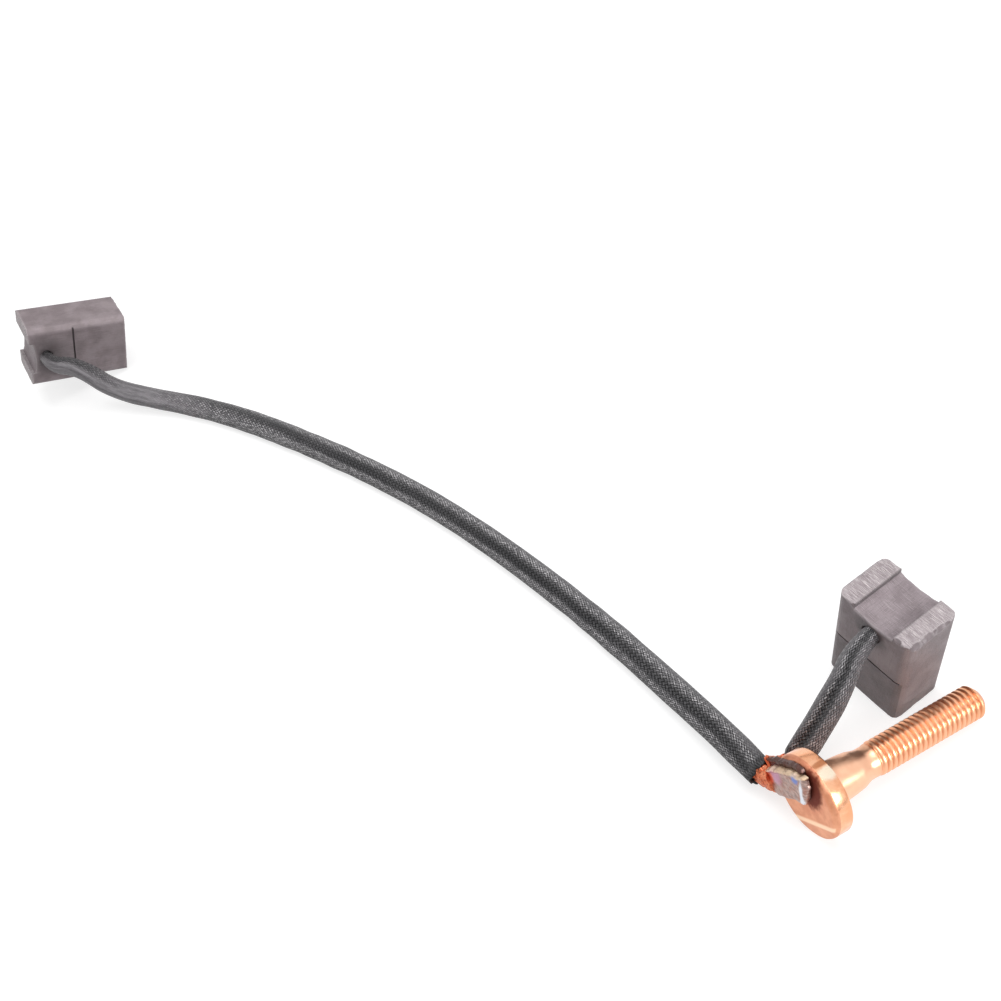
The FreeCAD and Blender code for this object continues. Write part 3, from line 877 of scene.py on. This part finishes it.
def sleeve(name, line, table, looks, step, up_end):
    """A woven tube along the line: an oval with a crease, its sizes from the table."""
    around = 3 * WEAVE_ENDS
    centre, places = part_of(line, LEAD_IN_HOLE - TUBE_IN_HOLE, distances(line)[-1], step)
    places = places - LEAD_IN_HOLE
    # the oval stands upright, and turns to the pad over the last 12 millimetres
    share = smooth(places, places[-1] - 12, places[-1])[:, None]
    across, above = frames(centre, np.array([0, 0, 1.0]) * (1 - share) + np.array(up_end) * share)
    ahead = np.cross(above, across)
    wide, tall, crease, side = (column[:, None] for column in stations(places, table))
    # where the line is low the sleeve lies, and is let down on the floor
    lying = 1 - smooth(centre[:, 2], 3.0, 5.0)
    drop = np.maximum(centre[:, 2] - tall[:, 0] - FLOOR_GAP, 0) * lying
    turn = np.linspace(0, 1, around, endpoint=False)
    angle = 2 * math.pi * turn
    grid_turn, grid_along = np.meshgrid(turn, places)
    x, y = wide * np.cos(angle), tall * np.sin(angle)
    # the crease runs along the upper side, and the two lobes beside it swell
    off = (x - side) / (0.30 * wide)
    lobes = 0.25 * np.exp(-((np.abs(off) - 1.9) ** 2))
    y = y - crease * (np.exp(-off ** 2) - lobes) * smooth(np.sin(angle), 0.0, 0.5)
    # it swells and thins a little along the run
    level = 0 * grid_along.ravel()
    swell = rough(np.stack([grid_along.ravel() / 7.0, level, level], axis=1), 1.0, 2.0)
    swell = swell.reshape(x.shape) * 0.05 + 1
    marks = looks(angle, grid_along)
    weave = weave_height(grid_turn, grid_along, WEAVE_ENDS, WEAVE_STEP)
    relief = WEAVE_RELIEF * (weave - 0.6) * (1 - marks["plain"])
    size = np.hypot(x, y)
    points = swept(centre, across, above, x * (swell + relief / size), y * (swell + relief / size))
    # the cut end frays, and turns in to show how thick the sleeve is
    edge = np.stack([np.cos(angle) * 3, np.sin(angle) * 3, angle * 0], axis=1)
    torn = 0.5 + 0.5 * rough(edge, 1.0, 31.0)
    near_end = smooth(places, places[-1] - 1.2, places[-1])[:, None]
    points += ahead[:, None, :] * (near_end * 1.5 * torn)[..., None]
    last = points[-1]
    middle = last.mean(axis=0)
    inward = ((0.10, 0.1), (0.17, 0.5), (0.19, 2.0))  # share of the radius, millimetres back
    lip = [last + (middle - last) * t - ahead[-1] * back for t, back in inward]
    points = np.concatenate([points, np.array(lip)])
    points[:-3, :, 2] -= drop[:, None]
    points[-3:, :, 2] -= drop[-1]
    points[..., 2] = np.maximum(points[..., 2], FLOOR_LEAST)
    places = np.concatenate([places, places[-1] + np.array([0.3, 0.6, 0.9])])
    soot = smooth(grid_along, grid_along.max() - 2.2, grid_along.max() - 0.2)
    marks["crease"] = np.maximum(marks["crease"], soot)
    for mark, values in marks.items():
        marks[mark] = np.concatenate([values, np.repeat(values[-1:], 3, axis=0)])
    piece = add_piece(
        "sleeve_" + name + "_woven", points.reshape(-1, 3), ring_faces(len(places), around),
        ROW_PLACE, WEAVE, ["sleeve_" + name], 180, marks,
    )
    lay_out(piece.data, places, around)
    path = [tuple(c * MM for c in p) for p in centre[::CORD_POINT]]
    path += [tuple(c * MM for c in centre[-1])]


def between(degrees, low, high, soft=9):
    """One where the angle is between low and high, fading over soft degrees."""
    return smooth(degrees, low - soft, low + soft) * (1 - smooth(degrees, high - soft, high + soft))


def bands(angle, along, around_scale, along_scale, seed):
    """Long soft streaks from 0 to 1 on a sleeve."""
    c, d = np.cos(angle) * around_scale + 0 * along, np.sin(angle) * around_scale + 0 * along
    where = np.stack([w.ravel() for w in (along / along_scale, c, d)], axis=1)
    return 0.5 + 0.5 * rough(where, 1.0, seed).reshape(along.shape)


def wandering(angle, along, reach, scale, seed):
    """The angle from -90 to 270 degrees, wandering by reach as it runs along."""
    degrees = np.broadcast_to((np.degrees(angle) + 90) % 360 - 90, along.shape)
    return degrees + reach * (bands(angle * 0, along, 0.0, scale, seed) - 0.5)


def long_looks(angle, along):
    """Where the long sleeve takes painted shade, where it is painted plain and pale for its sheen,
    and where it is warm, from the angle round it and the run.
    """
    degrees = wandering(angle, along, 14, 9.0, 41.0)
    valley = np.interp(along, [0, 50, 110, 270], [120, 118, 76, 70])
    start = 1 - smooth(along, 32, 74)
    band = bands(angle, along, 1.3, 14.0, 43.0)
    back = smooth(degrees, valley + 46, valley + 62) * (1 - smooth(degrees, 190, 210))
    front = (1 - smooth(degrees, -30, -4)) * smooth(along, 100, 150)
    at_exit = (1 - smooth(along, 8, 34)) * between(degrees, 66, 210, 16)
    deep = np.exp(-((degrees - valley) / 23) ** 4) * smooth(along, 26, 80)
    low_side = 0.12 * between(degrees, -20, valley - 20, 12) * smooth(along, 60, 120)
    torn = 0.9 * smooth(along, 261.8, 263.6)
    # crease: painted shade in the deep crease and a little on the low side, darker over the upper
    # side near the exit, and black at the torn end
    shaded = [torn, 0.98 * deep * (0.8 + 0.3 * band), 0.85 * at_exit, low_side]
    # plain: painted sheen on the flank above the crease and on the low front side, where strands
    # seen edge-on look smooth and pale; plain and pale too near the block
    rubbed_and_sheen = np.maximum.reduce([back * 0.75, front * 0.50, start * (0.85 + 0.15 * band)])
    return {
        "crease": np.maximum.reduce(shaded),
        "plain": rubbed_and_sheen * (1 - 0.75 * at_exit) * (1 - 0.6 * deep),
        "warm": np.maximum(0.9 * start, 0.35 * front),
    }


def short_looks(angle, along):
    """The same for the short sleeve."""
    degrees = wandering(angle, along, 12, 7.0, 45.0)
    left = 1 - smooth(degrees, 52, 72)
    right = smooth(degrees, 122, 134)
    ridge = between(degrees, 114, 122, 5)
    # crease is painted shade, and plain is painted sheen on the left, the ridge and the right
    return {
        "crease": np.maximum(between(degrees, 76, 110, 9) * 0.75, right * 0.25),
        "plain": np.maximum.reduce([left * 0.75, ridge * 0.6, right * 0.3]),
        "warm": np.maximum.reduce([right, ridge, 0.6 * left]),
    }


def lay_out(mesh, places, around):
    """Lays the weave out flat: U goes once round the tube, V counts crossings along it."""
    layer = mesh.uv_layers.new(name="lay")
    index = np.zeros(len(mesh.loops), np.int32)
    mesh.loops.foreach_get("vertex_index", index)
    u = ((index % around) / around).reshape(-1, 4)
    v = places[index // around] / WEAVE_STEP
    seam = (u.max(axis=1) - u.min(axis=1)) > 0.5
    u[seam] = np.where(u[seam] < 0.5, u[seam] + 1, u[seam])
    layer.data.foreach_set("uv", np.stack([u.ravel(), v], axis=1).ravel().astype(np.float32))


# Millimetres along from the block, half width, half height, crease depth, crease place
LONG_TABLE = [
    (-3, 1.7, 1.7, 0, 0),
    (0, 1.95, 1.95, 0, 0),
    (4, 2.35, 2.6, 0.1, 0.6),
    (9, 2.7, 3, 0.3, 1),
    (20, 3.1, 3, 0.5, 1.4),
    (35, 3.4, 2.8, 0.6, 1.6),
    (55, 3.7, 2.6, 0.7, 1.7),
    (90, 3.9, 2.5, 0.9, 1.7),
    (160, 3.71, 2.4, 1, 1.7),
    (235, 3.71, 2.5, 1, 1.5),
    (256, 3.52, 2.78, 0.7, 1),
    (264, 3.2, 2.88, 0.4, 0.8),
]
SHORT_TABLE = [
    (-3, 1.7, 1.7, 0.0, 0.0),
    (0, 2.1, 2.1, 0.2, 0.1),
    (8, 2.7, 2.6, 0.7, 0.1),
    (18, 3.2, 2.7, 1.1, 0.1),
    (28, 3.4, 2.6, 1.1, 0.0),
    (34, 3.3, 2.5, 0.7, 0.0),
]


# The pads on the head's face: their foot and turn, and their outlines, each row of which is
# how far along, the low and high side, and how far the back stands off
PAD_FOOT, PAD_TURN = (8.6, -3.6), -32
LONG_PAD = [
    (-0.8, -2.7, 2.6, 0.9),
    (0.5, -3.0, 3.4, 0.9),
    (2.0, -3.4, 4.2, 0.9),
    (5.0, -2.6, 5.4, 0.9),
    (8.4, -1.4, 6.2, 0.9),
    (11.0, -1.5, 6.5, 0.8),
    (12.6, 0.6, 6.6, 0.7),
    (13.8, 3.4, 6.4, 0.6),
]
SHORT_PAD = [
    (-1.0, -1.0, 4.6, 0.0),
    (2.0, -1.0, 6.0, 0.0),
    (8.0, -0.5, 7.6, 0.0),
    (12.0, 0.0, 7.8, 0.0),
]
# The bare ropes: millimetres along, half width, half height
LONG_BARE = [(0, 1.4, 1.4), (4.5, 1.7, 1.6), (6.0, 2.5, 2.0), (8.5, 2.9, 1.7), (11, 3.1, 1.0)]
SHORT_BARE = [(0, 1.3, 1.3), (5, 1.5, 1.4), (7, 2.4, 1.5), (12, 3.0, 1.0)]


def bare_braid(line, target, table, up):
    """The bare copper rope from inside its sleeve to a target on the pad."""
    total = distances(line)[-1]
    inside = part_of(line, total - ROPE_INSIDE, total, 0.5)[0]
    way = inside[-1] - inside[-2]
    way = way / np.linalg.norm(way)
    gap = np.linalg.norm(np.array(target) - inside[-1])
    t = np.linspace(0, 1, 12)[1:, None]
    bend = inside[-1] + way * gap * 0.5
    tail = (1 - t) ** 2 * inside[-1] + 2 * t * (1 - t) * bend + t ** 2 * np.array(target)
    whole = np.concatenate([inside, tail])
    centre, places = part_of(whole, 0, distances(whole)[-1], 0.12)
    across, above = frames(centre, np.array(up))
    wide, tall = (column[:, None] for column in stations(places, table))
    turn = np.linspace(0, 1, BRAID_AROUND, endpoint=False)
    crown = weave_height(*np.meshgrid(turn, places), BRAID_ENDS, BRAID_STEP)
    size = 1 + 0.17 * (crown - 0.6)
    x = wide * np.cos(2 * math.pi * turn) * size
    y = tall * np.sin(2 * math.pi * turn) * size
    points = swept(centre, across, above, x, y)
    return in_bolt(points.reshape(-1, 3)), closed_faces(len(places), BRAID_AROUND)


def plate(outline, thick):
    """A pressed pad in the pad's own axes: along it, across it and out from the face.
    It gives the points, the faces, and a mark from 0 to 1 on the curled upper edge."""
    rows = np.array(outline, float)
    along = np.arange(rows[0, 0], rows[-1, 0], 0.16)
    low, high, back = (column[:, None] for column in stations(along, outline))
    v = np.linspace(0, 1, 52)
    a = np.repeat(along[:, None], len(v), axis=1)
    b = low + (high - low) * v
    flat = np.stack([a.ravel(), b.ravel(), 0 * a.ravel()], axis=1)

    def uneven(stretch, scale, seed):
        return rough(flat * stretch, scale, seed).reshape(a.shape)

    edge = np.sqrt(np.clip(1 - np.abs(2 * v - 1) ** 6, 0, 1))
    ends = smooth(along, along[0], along[0] + 0.8)
    ends = (ends * (1 - smooth(along, along[-1] - 0.7, along[-1])))[:, None]
    wrinkle = 0.20 * uneven([1, 1, 1], 2.2, 3.0) + 0.05 * uneven([0.35, 2.0, 1], 1.0, 7.0)
    height = thick * (0.25 + 0.75 * edge * (0.35 + 0.65 * ends)) + wrinkle * edge
    # the upper edge is curled up and nicked
    curl = smooth(v, 0.80, 0.93) * (1 - smooth(v, 0.97, 1.0))
    height = height + curl * (0.45 + 0.35 * uneven([1, 1, 1], 0.9, 15.0))
    b = b + 0.30 * uneven([1, 0.1, 1], 1.1, 19.0) * smooth(v, 0.7, 1.0)
    a = a + 0.40 * uneven([0.2, 1.1, 1], 1.0, 11.0)
    top = np.stack([a, b, back + height], axis=-1)
    under = np.stack([a, b, back + 0 * height], axis=-1)
    points = np.concatenate([top.reshape(-1, 3), under.reshape(-1, 3)])
    rim = np.tile(smooth(v, 0.84, 0.93), 2 * len(along))
    count, columns = a.shape
    far = count * columns
    faces = []
    for i in range(count - 1):
        for j in range(columns - 1):
            c, d = i * columns + j, (i + 1) * columns + j
            faces.append((c, d, d + 1, c + 1))
            faces.append((far + c, far + c + 1, far + d + 1, far + d))
    sides = [(i * columns, (i + 1) * columns) for i in range(count - 1)]
    sides += [(d + columns - 1, c + columns - 1) for c, d in sides]
    last = (count - 1) * columns
    for j in range(columns - 1):
        sides += [(j + 1, j), (last + j, last + j + 1)]
    faces += [(far + c, far + d, d, c) for c, d in sides]
    return points, faces, rim


def on_face(points):
    """Points of the pads' own axes, in the bolt's, in millimetres."""
    c, d = math.cos(math.radians(PAD_TURN)), math.sin(math.radians(PAD_TURN))
    along, across, out = np.asarray(points).T
    y, z = PAD_FOOT
    return np.stack([-out, y - c * along - d * across, z - d * along + c * across], axis=1)


def in_row(points):
    """Points of the bolt's axes, in the row frame, in millimetres."""
    turn = np.array(BOLT_PLACE.to_3x3())
    return np.asarray(points) @ turn.T + np.array(BOLT_AT)


def in_bolt(points):
    """Points of the row frame, in the bolt's axes, in millimetres."""
    turn = np.array(BOLT_PLACE.to_3x3())
    return (np.asarray(points) - np.array(BOLT_AT)) @ turn


def welded_braid(name, line, face_out, bare, target, outline, thick, bright, dark):
    """A bare rope from inside its sleeve to its target on the pad, and the pad, in one piece."""
    rope, rope_faces = bare_braid(line, in_row(on_face([target]))[0], bare, face_out)
    pad, pad_faces, rim = plate(outline, thick)
    points = np.concatenate([rope, on_face(pad)])
    faces = rope_faces + [tuple(i + len(rope) for i in ring) for ring in pad_faces]
    none, whole = np.zeros(len(rope)), np.ones(len(pad))
    marks = {
        "pad": np.concatenate([none, smooth(pad[:, 0], -0.5, 1.6)]),
        "rim": np.concatenate([none, rim * bright]),
        "soot": np.concatenate([none, whole * dark]),
    }
    label, nodes = "braid_" + name + "_welded", ["braid_" + name]
    add_piece(label, points, faces, BOLT_PLACE, BRAID, nodes, 50, marks)


def leads():
    """The two sleeves, and the two bare ropes with their pads on the bolt's head."""
    long_line, short_line = route_line(LONG_ROUTE), route_line(SHORT_ROUTE)
    face_out = np.array((BOLT_PLACE.to_3x3() @ Vector((-1, 0, 0))).normalized())
    sleeve(
        "long", long_line, LONG_TABLE, long_looks, 0.25, (-0.6, 0, 0.8),
    )
    sleeve(
        "short", short_line, SHORT_TABLE, short_looks, 0.21, face_out,
    )
    welded_braid(
        "long", long_line, face_out, LONG_BARE, (0.6, 0.3, 1.7), LONG_PAD,
        thick=1.25, bright=0.6, dark=0.0,
    )
    welded_braid(
        "short", short_line, face_out, SHORT_BARE, (0.6, 3.0, 0.5), SHORT_PAD,
        thick=0.85, bright=0.0, dark=0.9,
    )


def carried_over():
    """The nodes whose own shape is right take a better material."""
    for name in ("tamp_long", "tamp_short"):
        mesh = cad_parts[name].data
        mesh.materials.clear()
        mesh.materials.append(POWDER)


bpy.context.scene.view_settings.view_transform = "Standard"
add_camera()
add_floor()
add_world()
for lamp in LAMPS:
    add_lamp(*lamp)
leads()
carbon_block(
    "short", SHORT_PLACE, SHORT_DROP, SHORT_CHIPS, split=(-9.0, 9.4), split_at=LENGTH * 0.5,
    rubbed_and_sheen=0.6, hole_shade=0.0, shade=(0.68, 0.14, 0.0),
)
carbon_block(
    "long", LONG_PLACE, LONG_DROP, LONG_CHIPS, split=(-6.0, 9.4), split_at=16.4,
    rubbed_and_sheen=0.1, hole_shade=0.7, shade=(0.0, 0.0, 0.08),
)
terminal_bolt()
carried_over()
